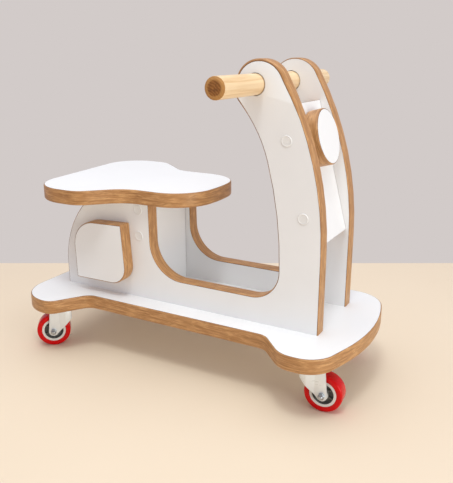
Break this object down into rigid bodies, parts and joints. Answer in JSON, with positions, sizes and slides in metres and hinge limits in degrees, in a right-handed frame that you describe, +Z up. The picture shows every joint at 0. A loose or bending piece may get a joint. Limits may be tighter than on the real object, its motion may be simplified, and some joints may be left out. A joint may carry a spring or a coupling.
{
  "type": "ride-on scooter",
  "caption": "Child's sit-on scooter of white laminated plywood boards on red-wheeled swivel casters, with a fixed wooden handlebar rod.",
  "frame": {"origin": "on the floor under the centre of the deck, which is the bottom centre of the whole part", "axes": "+X forward, +Y to the rider's left, +Z up"},
  "size_m": [0.4918, 0.316, 0.4185],
  "materials": {
    "plywood": "satin, layered edge",
    "white_laminate": "satin",
    "body_laminate": "satin",
    "beech": "oiled",
    "pine": "sawn",
    "cap_plastic": "satin",
    "screw_steel": "zinc plated",
    "bolt_steel": "zinc plated",
    "ball_steel": "polished",
    "zinc_plate": "pressed and zinc plated",
    "hub_plastic": "moulded",
    "tyre_red": "glossy polyurethane"
  },
  "bodies": {
    "frame": {"deck_core": "plywood", "deck_top_laminate": "white_laminate", "deck_bottom_laminate": "white_laminate", "right_panel_core": "plywood", "right_panel_outer_laminate": "body_laminate", "right_panel_inner_laminate": "body_laminate", "left_panel_core": "plywood", "left_panel_outer_laminate": "body_laminate", "left_panel_inner_laminate": "body_laminate", "seat_core": "plywood", "seat_top_laminate": "white_laminate", "seat_bottom_laminate": "white_laminate", "seat_cleats": "pine", "rear_board_core": "plywood", "rear_board_laminates": "body_laminate", "fascia_core": "plywood", "fascia_laminates": "white_laminate", "headlight_core": "plywood", "headlight_face": "white_laminate", "right_cover_core": "plywood", "right_cover_laminates": "body_laminate", "left_cover_core": "plywood", "left_cover_laminates": "body_laminate", "handlebar": "beech", "screw_caps": "cap_plastic", "board_screws": "screw_steel", "small_screws": "screw_steel", "caster_screws": "screw_steel", "kingpins": "bolt_steel", "race_balls": "ball_steel", "front_right_caster_plate": "zinc_plate", "front_left_caster_plate": "zinc_plate", "rear_right_caster_plate": "zinc_plate", "rear_left_caster_plate": "zinc_plate"},
    "front_right_swivel": {"front_right_fork": "zinc_plate", "front_right_axle_bolt": "bolt_steel", "front_right_axle_nut": "bolt_steel", "front_right_sleeve": "bolt_steel"},
    "front_right_wheel": {"front_right_hub": "hub_plastic", "front_right_tyre": "tyre_red"},
    "front_left_swivel": {"front_left_fork": "zinc_plate", "front_left_axle_bolt": "bolt_steel", "front_left_axle_nut": "bolt_steel", "front_left_sleeve": "bolt_steel"},
    "front_left_wheel": {"front_left_hub": "hub_plastic", "front_left_tyre": "tyre_red"},
    "rear_right_swivel": {"rear_right_fork": "zinc_plate", "rear_right_axle_bolt": "bolt_steel", "rear_right_axle_nut": "bolt_steel", "rear_right_sleeve": "bolt_steel"},
    "rear_right_wheel": {"rear_right_hub": "hub_plastic", "rear_right_tyre": "tyre_red"},
    "rear_left_swivel": {"rear_left_fork": "zinc_plate", "rear_left_axle_bolt": "bolt_steel", "rear_left_axle_nut": "bolt_steel", "rear_left_sleeve": "bolt_steel"},
    "rear_left_wheel": {"rear_left_hub": "hub_plastic", "rear_left_tyre": "tyre_red"}
  },
  "joints": [
    {"name": "front_right_swivel", "type": "hinge", "parent": "frame", "child": "front_right_swivel", "pos_m": [0.1905, -0.0775, 0.062], "axis": [0, 0, 1], "continuous": true},
    {"name": "front_right_roll", "type": "hinge", "parent": "front_right_swivel", "child": "front_right_wheel", "pos_m": [0.20947, -0.07651, 0.0245], "axis": [-0.0523, 0.9986, 0], "continuous": true},
    {"name": "front_left_swivel", "type": "hinge", "parent": "frame", "child": "front_left_swivel", "pos_m": [0.1905, 0.0775, 0.062], "axis": [0, 0, 1], "continuous": true},
    {"name": "front_left_roll", "type": "hinge", "parent": "front_left_swivel", "child": "front_left_wheel", "pos_m": [0.17157, 0.07916, 0.0245], "axis": [-0.0872, -0.9962, 0], "continuous": true},
    {"name": "rear_right_swivel", "type": "hinge", "parent": "frame", "child": "rear_right_swivel", "pos_m": [-0.201, -0.087, 0.062], "axis": [0, 0, 1], "continuous": true},
    {"name": "rear_right_roll", "type": "hinge", "parent": "rear_right_swivel", "child": "rear_right_wheel", "pos_m": [-0.21555, -0.09921, 0.0245], "axis": [0.6428, -0.766, 0], "continuous": true},
    {"name": "rear_left_swivel", "type": "hinge", "parent": "frame", "child": "rear_left_swivel", "pos_m": [-0.201, 0.087, 0.062], "axis": [0, 0, 1], "continuous": true},
    {"name": "rear_left_roll", "type": "hinge", "parent": "rear_left_swivel", "child": "rear_left_wheel", "pos_m": [-0.21965, 0.09062, 0.0245], "axis": [-0.1908, -0.9816, 0], "continuous": true}
  ]
}
